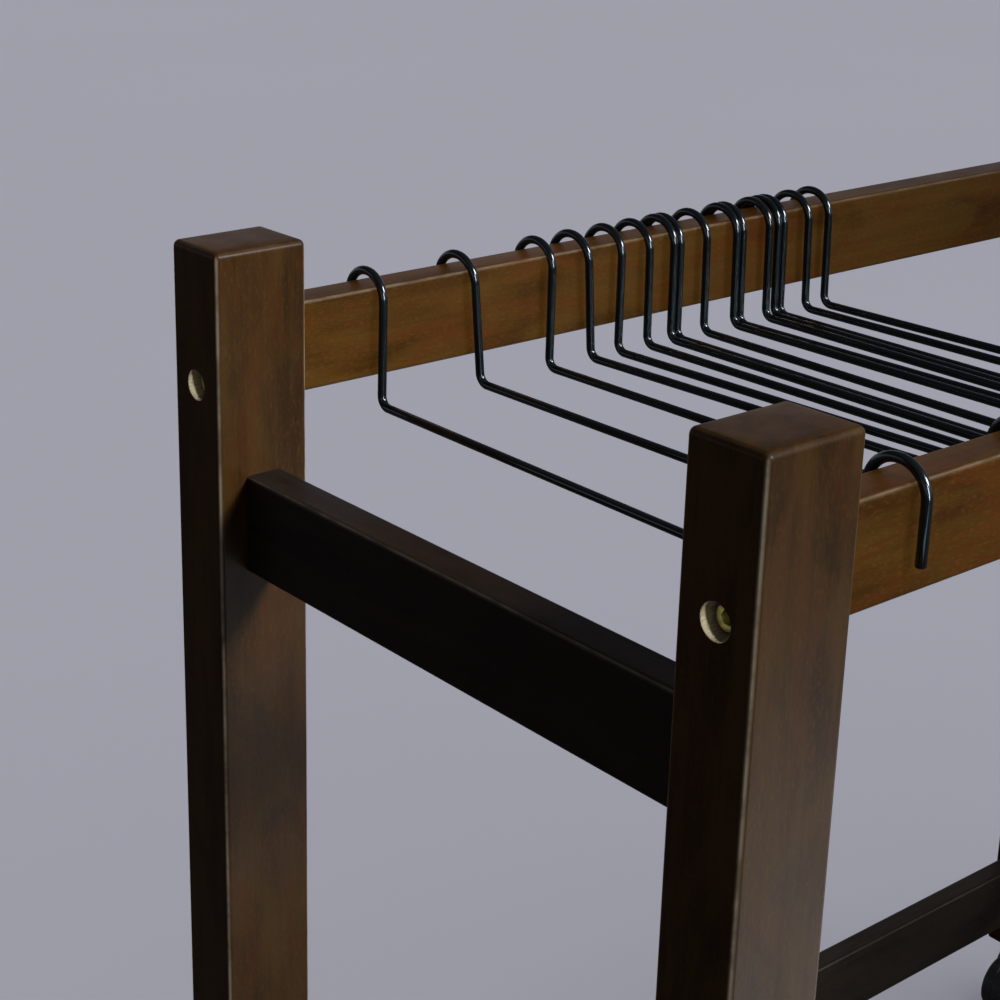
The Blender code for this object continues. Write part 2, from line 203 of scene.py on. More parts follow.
FORK_EASE = 0.0005
FORK_HOLE_STEPS = 32
RACE_R = 0.011
RACE_TOP = 0.0492
RACE_CHAMFER = 0.001
RACE_EASE = 0.0004
RACE_STEPS = 48
LEG_BOTTOM = 0.052
STEM_TOP = 0.067
STEM_R = 0.004
STEM_NECK_R = 0.003
STEM_EASE = 0.0005
COLLAR_R = 0.010
COLLAR_LOW = 0.0495
RIVET_R = 0.005
RIVET_TOP = 0.0417
RIVET_LOW = 0.0402
AXLE_R = 0.003
AXLE_HEAD_R = 0.005
AXLE_HEAD_HIGH = 0.0015
AXLE_EASE = 0.0006

X_AXIS = Vector((1, 0, 0))
Y_AXIS = Vector((0, 1, 0))
Z_AXIS = Vector((0, 0, 1))
ENDS = (("left", -1), ("right", 1))
FACES = (("front", -1), ("rear", 1))
LEVELS = ("top", "lower")
BODIES = frame["record"]["behaviour"]["bodies"]
NODE_BODY = {node: body for body, nodes in BODIES.items() for node in nodes}

# The angle in degrees above which shading keeps an edge sharp
SHARP = 40
SHARP_TURNED = 35
SHARP_WHEEL = 30
SHARP_WIRE = 50


# ---------------------------------------------------------------- finishes

class Shader:
    """A material whose nodes are added one call at a time."""

    def __init__(self, name):
        self.material = bpy.data.materials.new(name)
        self.material.use_nodes = True
        self.tree = self.material.node_tree
        self.surface = self.tree.nodes["Principled BSDF"]

    def node(self, kind, inputs=None, **settings):
        made = self.tree.nodes.new("ShaderNode" + kind)
        for key, value in settings.items():
            setattr(made, key, value)
        for key, value in (inputs or {}).items():
            self.feed(made.inputs[key], value)
        return made

    def feed(self, socket, value):
        if isinstance(value, bpy.types.NodeSocket):
            self.tree.links.new(value, socket)
        else:
            socket.default_value = value

    def finish(self, inputs):
        for key, value in inputs.items():
            self.feed(self.surface.inputs[key], value)
        return self.material

    def place(self):
        """Object coordinates, moved by a different amount for every piece."""
        coordinates = self.node("TexCoord").outputs["Object"]
        chance = self.node("ObjectInfo").outputs["Random"]
        step = self.node("VectorMath", {0: (1.3, 2.1, 0.7), 3: chance}, operation="SCALE").outputs[0]
        return self.node("VectorMath", {0: coordinates, 1: step}, operation="ADD").outputs[0]

    def stretched(self, place, scale):
        return self.node("VectorMath", {0: place, 1: scale}, operation="MULTIPLY").outputs[0]

    def noise(self, place, scale, detail=3.0, roughness=0.55, distortion=0.0):
        inputs = {"Vector": self.stretched(place, scale), "Scale": 1.0, "Detail": detail,
                  "Roughness": roughness, "Distortion": distortion}
        return self.node("TexNoise", inputs).outputs["Fac"]

    def band(self, value, low, high, to_low=0.0, to_high=1.0):
        inputs = {"Value": value, "From Min": low, "From Max": high, "To Min": to_low, "To Max": to_high}
        return self.node("MapRange", inputs, interpolation_type="SMOOTHSTEP").outputs["Result"]

    def math(self, operation, a, b=0.0):
        return self.node("Math", {0: a, 1: b}, operation=operation).outputs[0]

    def mix(self, amount, a, b, blend="MIX"):
        made = self.node("Mix", data_type="RGBA", blend_type=blend)
        for socket, value in ((made.inputs[0], amount), (made.inputs[6], a), (made.inputs[7], b)):
            if not isinstance(value, (bpy.types.NodeSocket, float)):
                value = (*value, 1.0)
            self.feed(socket, value)
        return made.outputs[2]

    def bump(self, height, strength, distance):
        inputs = {"Height": height, "Strength": strength, "Distance": distance}
        return self.node("Bump", inputs).outputs[0]

    def worn(self):
        """How strongly the surface is marked, from 0 to 1, as mark_edges stored it: wear on the metal, and
        on the wood the pale arris line, which is partly a painted highlight.
        """
        return self.node("Attribute", attribute_name="edge").outputs["Fac"]


def grain_scale(axis, across, along):
    """A noise scale that is fine across the grain and long along it."""
    scale = [across] * 3
    scale["xyz".index(axis)] = along
    return tuple(scale)


def stained_wood(name, axis, dark, brown, gold, red, gold_share, red_share, sheen, rub_and_highlight_share):
    """Walnut stain over a golden wood, under a satin lacquer, with pale arrises that are partly rubbed
    stain and partly a painted highlight.

    Grain runs along the axis. The shares say how much of the gold and of the red shows.
    """
    s = Shader(name)
    place = s.place()
    streak = s.noise(place, grain_scale(axis, 110, 10), 4.0, 0.6, 0.8)
    cloud = s.noise(place, grain_scale(axis, 42, 14), 3.0, 0.5, 0.8)
    fibre = s.noise(place, grain_scale(axis, 520, 16), 4.0, 0.65, 0.3)
    pores = s.noise(place, grain_scale(axis, 1500, 90), 2.0, 0.6)
    flush = s.noise(place, grain_scale(axis, 75, 20), 3.0, 0.5, 1.0)
    speck = s.noise(place, grain_scale(axis, 950, 380), 3.0, 0.6)
    colour = s.mix(s.band(streak, 0.32, 0.68), dark, brown)
    colour = s.mix(s.math("MULTIPLY", s.band(cloud, 0.38, 0.62), gold_share), colour, gold)
    colour = s.mix(s.math("MULTIPLY", s.band(flush, 0.47, 0.66), red_share), colour, red)
    colour = s.mix(s.band(fibre, 0.35, 0.68, 0.16, 0.0), colour, tuple(c * 0.5 for c in dark))
    colour = s.mix(s.band(pores, 0.60, 0.74, 0.0, 0.22), colour, tuple(c * 0.4 for c in dark))
    colour = s.mix(s.band(speck, 0.48, 0.72, 0.0, 0.32), colour, tuple(c * 1.3 for c in gold))
    patchy = s.band(s.noise(place, (70, 70, 70), 3.0, 0.6), 0.34, 0.62, 0.45, 1.0)
    # Pale arris line: partly rubbed stain, partly a painted highlight standing in for the gloss the
    # rounded edges catch.
    rub_and_highlight = s.math("MULTIPLY", s.math("POWER", s.worn(), 6.0), patchy)
    colour = s.mix(s.math("MULTIPLY", rub_and_highlight, rub_and_highlight_share), colour, (0.34, 0.29, 0.21))
    gloss = s.band(s.noise(place, grain_scale(axis, 60, 20), 4.0), 0.3, 0.7, 0.33, 0.42)
    relief = s.math("ADD", s.math("MULTIPLY", fibre, 0.6), s.math("MULTIPLY", pores, -0.5))
    return s.finish({"Base Color": colour, "Roughness": gloss, "Normal": s.bump(relief, 0.15, 0.0003),
                     "Specular IOR Level": sheen, "Coat Weight": 0.05, "Coat Roughness": 0.25})


def raw_wood():
    """The unstained wall of a drilled hole, with a little stain run over its lip."""
    s = Shader("raw_wood")
    place = s.place()
    chatter = s.noise(place, (240, 1100, 1100), 4.0, 0.7)
    run = s.noise(place, (160, 260, 260), 3.0, 0.6, 0.8)
    colour = s.mix(s.band(chatter, 0.3, 0.7), (0.26, 0.21, 0.13), (0.46, 0.40, 0.28))
    colour = s.mix(s.band(run, 0.60, 0.70, 0.0, 0.7), colour, (0.10, 0.06, 0.03))
    return s.finish({"Base Color": colour, "Roughness": 0.8, "Normal": s.bump(chatter, 0.5, 0.0004)})


def black_enamel():
    """A smooth gloss coating, faintly blue, worn thin on the sheared wire ends."""
    s = Shader("black_enamel")
    place = s.place()
    ripple = s.noise(place, (60, 60, 60), 2.0)
    dust = s.noise(place, (1800, 1800, 1800), 2.0, 0.6)
    colour = s.mix(s.band(ripple, 0.3, 0.7), (0.0045, 0.0065, 0.0080), (0.0070, 0.0095, 0.0115))
    colour = s.mix(s.band(dust, 0.76, 0.84, 0.0, 0.3), colour, (0.10, 0.11, 0.12))
    colour = s.mix(s.math("MULTIPLY", s.worn(), 0.7), colour, (0.22, 0.23, 0.25))
    gloss = s.band(ripple, 0.25, 0.75, 0.14, 0.20)
    return s.finish({"Base Color": colour, "Roughness": gloss, "Normal": s.bump(ripple, 0.03, 0.0005),
                     "Specular Tint": (0.82, 0.93, 1.0, 1.0), "Coat Weight": 0.35, "Coat Roughness": 0.10})


def plated_zinc(name, bright, dull, tint, roughness):
    """Zinc plating with a mottled passivation tint and fine turning marks."""
    s = Shader(name)
    place = s.place()
    mottle = s.noise(place, (450, 450, 450), 4.0, 0.65, 0.4)
    bloom = s.noise(place, (170, 170, 170), 2.0)
    turning = s.noise(place, (2400, 500, 500), 2.0)
    colour = s.mix(s.band(mottle, 0.3, 0.7), dull, bright)
    colour = s.mix(s.band(bloom, 0.45, 0.7, 0.0, 0.6), colour, tint)
    gloss = s.band(mottle, 0.3, 0.7, roughness + 0.12, roughness)
    return s.finish({"Base Color": colour, "Metallic": 0.9, "Roughness": gloss,
                     "Normal": s.bump(turning, 0.12, 0.0003)})


def black_steel():
    """Pressed steel under thin black paint, rubbed to metal where it is marked as worn."""
    s = Shader("black_steel_plate")
    place = s.place()
    orange_peel = s.noise(place, (700, 700, 700), 3.0)
    grime = s.noise(place, (130, 130, 130), 4.0, 0.65)
    colour = s.mix(s.band(grime, 0.35, 0.7), (0.012, 0.012, 0.013), (0.035, 0.034, 0.034))
    rub_and_highlight = s.band(s.math("ADD", s.worn(), s.band(grime, 0.3, 0.7, -0.5, 0.1)), 0.35, 0.8)
    colour = s.mix(s.math("MULTIPLY", rub_and_highlight, 0.7), colour, (0.33, 0.33, 0.34))
    gloss = s.band(orange_peel, 0.3, 0.7, 0.30, 0.46)
    return s.finish({"Base Color": colour, "Roughness": gloss, "Metallic": s.math("MULTIPLY", rub_and_highlight, 0.8),
                    "Normal": s.bump(orange_peel, 0.12, 0.0003)})


def black_rubber():
    """Matt moulded rubber, greyer where dust has settled."""
    s = Shader("black_rubber")
    place = s.place()
    pitted = s.noise(place, (1600, 1600, 1600), 3.0, 0.6)
    dust = s.noise(place, (120, 120, 120), 5.0, 0.7)
    colour = s.mix(s.band(dust, 0.42, 0.75), (0.016, 0.016, 0.017), (0.055, 0.052, 0.050))
    gloss = s.band(dust, 0.3, 0.7, 0.50, 0.68)
    return s.finish({"Base Color": colour, "Roughness": gloss, "Normal": s.bump(pitted, 0.2, 0.0003)})


def studio_floor():
    """A plain pale floor whose grey hardly varies."""
    s = Shader("studio_floor")
    place = s.node("TexCoord").outputs["Object"]
    cloud = s.noise(place, (0.6, 0.6, 0.6), 2.0)
    speck = s.noise(place, (260, 260, 260), 2.0)
    colour = s.mix(s.band(cloud, 0.3, 0.7), (0.495, 0.495, 0.570), (0.503, 0.503, 0.579))
    gloss = s.band(speck, 0.3, 0.7, 0.78, 0.86)
    return s.finish({"Base Color": colour, "Roughness": gloss, "Specular IOR Level": 0.02})


LEG_WOOD = stained_wood(
    "stained_leg", axis="z", dark=(0.026, 0.0120, 0.0035), brown=(0.044, 0.0200, 0.0054),
    gold=(0.064, 0.0335, 0.0078), red=(0.058, 0.0195, 0.0052),
    gold_share=0.50, red_share=0.46, sheen=0.10, rub_and_highlight_share=0.95)
RAIL_WOOD = stained_wood(
    "stained_rail", axis="x", dark=(0.043, 0.0178, 0.0036), brown=(0.068, 0.0294, 0.0056),
    gold=(0.100, 0.0515, 0.0100), red=(0.086, 0.0262, 0.0058),
    gold_share=0.50, red_share=0.65, sheen=0.07, rub_and_highlight_share=0.40)
LOWER_RAIL_WOOD = stained_wood(
    "stained_lower_rail", axis="x", dark=(0.030, 0.023, 0.017), brown=(0.044, 0.034, 0.026),
    gold=(0.056, 0.043, 0.030), red=(0.052, 0.032, 0.024),
    gold_share=0.50, red_share=0.45, sheen=0.08, rub_and_highlight_share=0.20)
STRETCHER_WOOD = stained_wood(
    "stained_stretcher", axis="y", dark=(0.010, 0.006, 0.0045), brown=(0.019, 0.013, 0.009),
    gold=(0.026, 0.017, 0.011), red=(0.024, 0.012, 0.008),
    gold_share=0.35, red_share=0.35, sheen=0.10, rub_and_highlight_share=0.50)
RAW_WOOD = raw_wood()
ENAMEL = black_enamel()
YELLOW_ZINC = plated_zinc("yellow_zinc", bright=(0.66, 0.62, 0.26), dull=(0.36, 0.36, 0.12),
                          tint=(0.42, 0.52, 0.16), roughness=0.30)
BRIGHT_ZINC = plated_zinc("bright_zinc", bright=(0.66, 0.67, 0.69), dull=(0.42, 0.43, 0.45),
                          tint=(0.55, 0.57, 0.62), roughness=0.30)
BLACK_PLATE = black_steel()
RUBBER = black_rubber()


# ---------------------------------------------------------------- modelling helpers

def add_piece(name, mesh, materials, body):
    """Put a finished mesh on view, as a piece that moves with a body."""
    piece = bpy.data.objects.new("fine_" + name, mesh)
    bpy.context.scene.collection.objects.link(piece)
    mesh.materials.clear()
    for material in materials:
        mesh.materials.append(material)
    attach(piece, body)
    return piece


def show(name, mesh, materials, node):
    """Put a finished mesh on view in place of its CAD node."""
    piece = add_piece(name, mesh, materials, NODE_BODY[node])
    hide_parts(node)
    return piece


def baked(obj):
    """The mesh an object has after its modifiers, and nothing left of the object."""
    graph = bpy.context.evaluated_depsgraph_get()
    mesh = bpy.data.meshes.new_from_object(obj.evaluated_get(graph))
    bpy.data.objects.remove(obj, do_unlink=True)
    return mesh


def temporary(mesh):
    """An object that holds a mesh while modifiers work on it."""
    obj = bpy.data.objects.new(mesh.name, mesh)
    bpy.context.scene.collection.objects.link(obj)
    return obj


def mesh_from(name, bm):
    mesh = bpy.data.meshes.new(name)
    bm.to_mesh(mesh)
    bm.free()
    return mesh


def combined(mesh, others, operation="DIFFERENCE"):
    """A mesh with others cut out of it, or joined on. The cut faces keep their own material index."""
    obj = temporary(mesh)
    tools = [temporary(other) for other in others]
    for tool in tools:
        modifier = obj.modifiers.new("Shape", "BOOLEAN")
        modifier.operation = operation
        modifier.solver = "EXACT"
        modifier.object = tool
    made = baked(obj)
    for tool in tools:
        bpy.data.objects.remove(tool, do_unlink=True)
    return made


def even_normals(mesh, angle=SHARP):
    """Smooth shading in which the large flat faces stay flat."""
    mesh.shade_smooth()
    mesh.set_sharp_from_angle(angle=math.radians(angle))
    obj = temporary(mesh)
    modifier = obj.modifiers.new("Normals", "WEIGHTED_NORMAL")
    modifier.keep_sharp = True
    modifier.weight = 100
    return baked(obj)


def mark_edges(mesh, edge_mark_at):
    """Store how strongly each vertex is marked, from 0 to 1: wear on metal, and on wood the pale arris
    line, which is partly a painted highlight.
    """
    layer = mesh.attributes.new("edge", "FLOAT", "POINT")
    for value, vertex in zip(layer.data, mesh.vertices):
        value.value = edge_mark_at(vertex.co)


def box_arris_mask(low, high, edge, axes="xyz"):
    """A mask that is 1 along the middle of a block's eased edges and 0 on its flat faces; the wood paints
    its pale arris line there, partly rubbed stain and partly a painted highlight.

    The axes are those across the edges.
    """
    middle = (low + high) / 2
    half = (high - low) / 2

    def edge_mark_at(place):
        chosen = map("xyz".index, axes)
        depths = [(abs(place[i] - middle[i]) - half[i] + edge) / edge for i in chosen]
        inner, outer = sorted(max(0.0, min(1.0, depth)) for depth in depths)[-2:]
        return min(1.0, 2.0 * inner * outer)
    return edge_mark_at


def eased_block(name, low, high, edge, segments, along=None, crown=0.0):
    """A box with rounded edges, or only those along one axis, and a slightly crowned top."""
    low, high = Vector(low), Vector(high)
    bm = bmesh.new()
    size = high - low
    place = Matrix.Translation((low + high) / 2) @ Matrix.Diagonal((*size, 1.0))
    bmesh.ops.create_cube(bm, size=1.0, matrix=place)
    if crown:
        top = max(bm.faces, key=lambda face: face.calc_center_median().z)
        bmesh.ops.translate(bm, verts=top.verts, vec=(0, 0, -crown))
        bmesh.ops.inset_region(bm, faces=[top], thickness=min(size.x, size.y) / 4, depth=crown)
    edges = []
    for one in bm.edges:
        run = (one.verts[1].co - one.verts[0].co).normalized()
        if one.calc_face_angle() > math.radians(45) and (along is None or abs(run.dot(along)) > 0.99):
            edges.append(one)
    bmesh.ops.bevel(bm, geom=edges, offset=edge, segments=segments, profile=0.5, affect="EDGES")
    return mesh_from(name, bm)


def cylinder(name, centre, direction, radius, length, segments, material=0):
    """A solid cylinder about its centre, whose faces all take one material index."""
    bm = bmesh.new()
    turn = Z_AXIS.rotation_difference(Vector(direction)).to_matrix().to_4x4()
    bmesh.ops.create_cone(bm, cap_ends=True, segments=segments, radius1=radius, radius2=radius,
                          depth=length, matrix=Matrix.Translation(centre) @ turn)
    for face in bm.faces:
        face.material_index = material
    return mesh_from(name, bm)


def block(name, centre, size):
    bm = bmesh.new()
    place = Matrix.Translation(centre) @ Matrix.Diagonal((*size, 1.0))
    bmesh.ops.create_cube(bm, size=1.0, matrix=place)
    return mesh_from(name, bm)


def turned(name, outline, place, steps):
    """A turned solid. The outline runs down the outer side as (radius, height) on the placed Z axis."""
    bm = bmesh.new()
    rings = []
    for radius, height in outline:
        if radius == 0:
            rings.append([bm.verts.new((0, 0, height))] * steps)
            continue
        angles = [2 * math.pi * i / steps for i in range(steps)]
        circle = [(radius * math.cos(angle), radius * math.sin(angle), height) for angle in angles]
        rings.append([bm.verts.new(point) for point in circle])
    if outline[0][0] > 0:
        rings.append(rings[0])
    for upper, lower in zip(rings, rings[1:]):
        for i in range(steps):
            corners = (upper[i], lower[i], lower[i - steps + 1], upper[i - steps + 1])
            bm.faces.new(list(dict.fromkeys(corners)))
    bmesh.ops.recalc_face_normals(bm, faces=bm.faces)
    bm.transform(place)
    return mesh_from(name, bm)


def eased(outline, radius, steps=3):
    """An outline whose corners are rounded, except the first and the last."""
    made = [outline[0]]
    for before, corner, after in zip(outline, outline[1:], outline[2:]):
        corner = Vector(corner)
        back = Vector(before) - corner
        ahead = Vector(after) - corner
        cut = min(radius, back.length / 3, ahead.length / 3)
        start = corner + back.normalized() * cut
        end = corner + ahead.normalized() * cut
        for i in range(steps + 1):
            t = i / steps
            made.append(tuple(start * (1 - t) ** 2 + corner * 2 * t * (1 - t) + end * t ** 2))
    made.append(outline[-1])
    return made


def rounded_path(corners, radii, steps):
    """A polyline through the corners, with each inner corner turned at its radius."""
    path = [Vector(corners[0])]
    for before, corner, after, radius in zip(corners, corners[1:], corners[2:], radii):
        corner = Vector(corner)
        back = (Vector(before) - corner).normalized()
        ahead = (Vector(after) - corner).normalized()
        half = back.angle(ahead) / 2
        middle = corner + (back + ahead).normalized() * radius / math.sin(half)
        start = corner + back * radius / math.tan(half)
        end = corner + ahead * radius / math.tan(half)
        for i in range(steps + 1):
            path.append(middle + radius * (start - middle).slerp(end - middle, i / steps))
    path.append(Vector(corners[-1]))
    return path


# ---------------------------------------------------------------- wood

def make_legs():
    legs = []
    for end, sx in ENDS:
        for face, sy in FACES:
            node = f"leg_{face}_{end}"
            low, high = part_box(node)
            mesh = eased_block(node, low, high, LEG_EDGE, LEG_EDGE_STEPS, crown=LEG_CROWN)
            mouth_x = sx * LENGTH / 2
            holes = []
            for z in BOLT_LEVELS:
                mouth = (mouth_x, sy * LEG_CENTRE_Y, z)
                holes.append(cylinder("counterbore", mouth, X_AXIS, COUNTERBORE_R, 2 * COUNTERBORE_DEEP,
                                      BORE_STEPS, material=1))
                holes.append(cylinder("bolt_hole", mouth, X_AXIS, BOLT_R + FIT, 2 * (LEG_X + FIT),
                                      HOLE_STEPS, material=1))
            for part in (mesh, *holes):
                part.materials.append(LEG_WOOD)
                part.materials.append(RAW_WOOD)
            mesh = even_normals(combined(mesh, holes))
            mark_edges(mesh, box_arris_mask(low, high, LEG_EDGE))
            legs.append(show(node, mesh, (LEG_WOOD, RAW_WOOD), node))
    return legs


def make_bores():
    """The raw wood that lines each counterbore, from just inside its mouth to its floor."""
    outer = COUNTERBORE_R - BORE_CLEAR
    inner = outer - BORE_WALL
    floor = BORE_CLEAR - COUNTERBORE_DEEP
    hole = BOLT_R + FIT
    outline = [(outer, -BORE_LIP), (outer, floor), (hole, floor), (hole, floor + BORE_FLOOR),
               (inner, floor + BORE_FLOOR), (inner, -BORE_LIP)]
    pieces = []
    for level, z in zip(LEVELS, BOLT_LEVELS):
        for end, sx in ENDS:
            for face, sy in FACES:
                mouth = Matrix.Translation((sx * LENGTH / 2, sy * LEG_CENTRE_Y, z))
                stand = mouth @ Matrix.Rotation(sx * math.pi / 2, 4, "Y")
                mesh = even_normals(turned("bore", outline, stand, BORE_STEPS))
                name = f"bore_{level}_{face}_{end}"
                pieces.append(add_piece(name, mesh, (RAW_WOOD,), "frame"))
    return pieces


def make_rails():
    for level, bolt_z, wood in zip(LEVELS, BOLT_LEVELS, (RAIL_WOOD, LOWER_RAIL_WOOD)):
        for face, sy in FACES:
            node = f"{level}_rail_{face}"
            low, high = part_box(node)
            low.x, high.x = -RAIL_END, RAIL_END
            mesh = eased_block(node, low, high, RAIL_EDGE, EDGE_STEPS, along=X_AXIS)
            nut_top = bolt_z + NUT_HIGH / 2 + FIT
            holes = []
            for _, sx in ENDS:
                centre = (sx * NUT_X, sy * LEG_CENTRE_Y, low.z)
                holes.append(cylinder("nut_hole", centre, Z_AXIS, NUT_R + FIT, 2 * (nut_top - low.z),
                                      FASTENER_STEPS, material=1))
            for part in (mesh, *holes):
                part.materials.append(wood)
                part.materials.append(RAW_WOOD)
            mesh = even_normals(combined(mesh, holes))
            mark_edges(mesh, box_arris_mask(low, high, RAIL_EDGE, "yz"))
            show(node, mesh, (wood, RAW_WOOD), node)


def make_stretchers():
    for level in LEVELS:
        for end, _ in ENDS:
            node = f"{level}_stretcher_{end}"
            low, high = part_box(node)
            low.y, high.y = -STRETCHER_END, STRETCHER_END
            mesh = eased_block(node, low, high, STRETCHER_EDGE, EDGE_STEPS, along=Y_AXIS)
            mesh = even_normals(mesh)
            mark_edges(mesh, box_arris_mask(low, high, STRETCHER_EDGE, "xz"))
            show(node, mesh, (STRETCHER_WOOD,), node)


# ---------------------------------------------------------------- metal

def make_fasteners():
    bolts = []
    head = eased([(0, 0), (BOLT_HEAD_R, 0), (BOLT_HEAD_R, -BOLT_HEAD_HIGH), (BOLT_R, -BOLT_HEAD_HIGH),
                  (BOLT_R, -BOLT_LENGTH), (0, -BOLT_LENGTH)], FASTENER_EASE)
    nut_outline = eased([(0, NUT_HIGH / 2), (NUT_R, NUT_HIGH / 2),
                         (NUT_R, -NUT_HIGH / 2), (0, -NUT_HIGH / 2)], FASTENER_EASE)
    for level, z in zip(LEVELS, BOLT_LEVELS):
        for end, sx in ENDS:
            for face, sy in FACES:
                place = f"{level}_{face}_{end}"
                y = sy * LEG_CENTRE_Y
                head_x = sx * (LENGTH / 2 - COUNTERBORE_DEEP + BOLT_HEAD_HIGH + FIT)
                stand = Matrix.Translation((head_x, y, z)) @ Matrix.Rotation(sx * math.pi / 2, 4, "Y")
                bolt = turned("bolt", head, stand, FASTENER_STEPS)
                socket = cylinder("socket", (head_x, y, z), X_AXIS, BOLT_SOCKET_R, 2 * BOLT_SOCKET_DEEP,
                                  SOCKET_SIDES)
                bolt = even_normals(combined(bolt, [socket]), SHARP_TURNED)
                bolts.append(show("bolt_" + place, bolt, (YELLOW_ZINC,), "bolt_" + place))
                middle = Vector((sx * NUT_X, y, z))
                nut = turned("nut", nut_outline, Matrix.Translation(middle), FASTENER_STEPS)
                thread = cylinder("thread", middle, X_AXIS, BOLT_R + FIT, 4 * NUT_R, HOLE_STEPS)
                slot_place = middle - Z_AXIS * NUT_HIGH / 2
                slot = block("slot", slot_place, (NUT_SLOT_WIDE, 4 * NUT_R, 2 * NUT_SLOT_DEEP))
                nut = even_normals(combined(nut, [thread, slot]), SHARP_TURNED)
                show("barrel_nut_" + place, nut, (YELLOW_ZINC,), "barrel_nut_" + place)
    return bolts


def sheared(place):
    """1 on the cut end of a wire's tail."""
    return float(place.z < WIRE_TAIL_Z + WIRE_TIP / 2 and abs(place.y) > LEG_CENTRE_Y)


def make_wires():
    wires = []
    outer_y = LEG_CENTRE_Y + HOOK_REACH
    inner_y = LEG_CENTRE_Y - HOOK_REACH
    radii = [HOOK_BEND_R, HOOK_BEND_R, FOOT_BEND_R, FOOT_BEND_R, HOOK_BEND_R, HOOK_BEND_R]
    for number, places in enumerate(WIRES, start=1):
        node = f"wire_{number:02d}"
        x_rear_top, x_rear, x_front, x_front_top = (x - LENGTH / 2 for x in places)
        path = rounded_path([
            (x_rear_top, outer_y, WIRE_TAIL_Z),
            (x_rear_top, outer_y, HOOK_TOP_Z),
            (x_rear_top, inner_y, HOOK_TOP_Z),
            (x_rear, inner_y, WIRE_SPAN_Z),
            (x_front, -inner_y, WIRE_SPAN_Z),
            (x_front_top, -inner_y, HOOK_TOP_Z),
            (x_front_top, -outer_y, HOOK_TOP_Z),
            (x_front_top, -outer_y, WIRE_TAIL_Z),
        ], radii, WIRE_BEND_STEPS)
        path.insert(1, path[0] + Z_AXIS * WIRE_TIP)
        path.insert(-1, path[-1] + Z_AXIS * WIRE_TIP)
        curve = bpy.data.curves.new(node, "CURVE")
        curve.dimensions = "3D"
        curve.bevel_depth = WIRE_R
        curve.bevel_resolution = WIRE_ROUNDNESS
        curve.use_fill_caps = True
        spline = curve.splines.new("POLY")
        spline.points.add(len(path) - 1)
        for i, (point, place) in enumerate(zip(spline.points, path)):
            point.co = (*place, 1.0)
            point.radius = WIRE_TIP_SCALE if i in (0, len(path) - 1) else 1.0
        mesh = baked(temporary(curve))
        mesh.shade_smooth()
        mesh.set_sharp_from_angle(angle=math.radians(SHARP_WIRE))
        mark_edges(mesh, sheared)
        wires.append(show(node, mesh, (ENAMEL,), node))
    return wires


# ---------------------------------------------------------------- casters

def fork_mesh(place):
    """Two rounded arms under a crown, with a bearing race on top."""
    shoulder = FORK_CROWN_LOW - FORK_SHOULDER
    points = [(-FORK_CROWN_HALF, FORK_CROWN_TOP), (-FORK_CROWN_HALF, shoulder)]
    for degrees in FORK_EYE_ARC:
        angle = math.radians(degrees)
        points.append((TRAIL + FORK_EYE_R * math.cos(angle), WHEEL_R + FORK_EYE_R * math.sin(angle)))
    points += [(FORK_CROWN_HALF, shoulder), (FORK_CROWN_HALF, FORK_CROWN_TOP)]
    bm = bmesh.new()
    side = bm.faces.new([bm.verts.new((x, -FORK_OUTER_HALF, z)) for x, z in points])
    pushed = bmesh.ops.extrude_face_region(bm, geom=[side])
    moved = [part for part in pushed["geom"] if isinstance(part, bmesh.types.BMVert)]
    bmesh.ops.translate(bm, verts=moved, vec=(0, 2 * FORK_OUTER_HALF, 0))
    bmesh.ops.recalc_face_normals(bm, faces=bm.faces)
    rims = []
    for edge in bm.edges:
        if abs(edge.verts[0].co.y - edge.verts[1].co.y) < FIT and edge.calc_face_angle() > 1:
            rims.append(edge)
    bmesh.ops.bevel(bm, geom=rims, offset=FORK_EASE, segments=2, profile=0.5, affect="EDGES")
    body = mesh_from("fork", bm)
    race_low = FORK_CROWN_TOP - FIT
    race_outline = eased([(0, RACE_TOP), (RACE_R - RACE_CHAMFER, RACE_TOP),
                          (RACE_R, RACE_TOP - RACE_CHAMFER), (RACE_R, race_low), (0, race_low)], RACE_EASE)
    body = combined(body, [turned("race", race_outline, Matrix.Identity(4), RACE_STEPS)], "UNION")
    eye = (TRAIL, 0, WHEEL_R)
    neck_long = 4 * (RACE_TOP - FORK_CROWN_LOW)
    cuts = [
        block("slot", (0, 0, FORK_CROWN_LOW / 2), (6 * WHEEL_R, 2 * FORK_INNER_HALF, FORK_CROWN_LOW)),
        cylinder("neck", (0, 0, RACE_TOP), Z_AXIS, STEM_NECK_R + FIT, neck_long, FORK_HOLE_STEPS),
        cylinder("eye", eye, Y_AXIS, AXLE_R + FIT, 4 * FORK_OUTER_HALF, FORK_HOLE_STEPS),
    ]
    body = even_normals(combined(body, cuts), SHARP_TURNED)

    def edge_mark_at(co):
        if abs(co.y) > FORK_OUTER_HALF - FIT and co.z > shoulder:
            return 1.0
        return 0.0
    mark_edges(body, edge_mark_at)
    body.transform(place)
    return body


def wheel_outline():
    """A tyre with a shallow centre groove, round a sunk disc with a fine ring and a raised boss."""
    half = WHEEL_HALF_WIDE
    disc = half - DISC_DEEP
    side = [
        (WHEEL_BORE_R, half),
        (HUB_R, half),
        (HUB_R, disc),
        (RING_INNER_R, disc),
        (RING_R, half - RING_DEEP),
        (RING_OUTER_R, disc),
        (TYRE_INNER_R, disc),
        (TYRE_INNER_R, half),
        (WHEEL_R - TYRE_SHOULDER, half),
        (WHEEL_R - TYRE_CORNER, half - TYRE_CORNER),
        (WHEEL_R, half - TYRE_SHOULDER),
        (WHEEL_R, GROOVE_HALF_WIDE),
        (WHEEL_R - GROOVE_DEEP, GROOVE_FLOOR_HALF_WIDE),
    ]
    whole = side + [(radius, -height) for radius, height in reversed(side)]
    return [whole[0], *eased(whole, WHEEL_EASE, 2)[1:-1], whole[-1]]


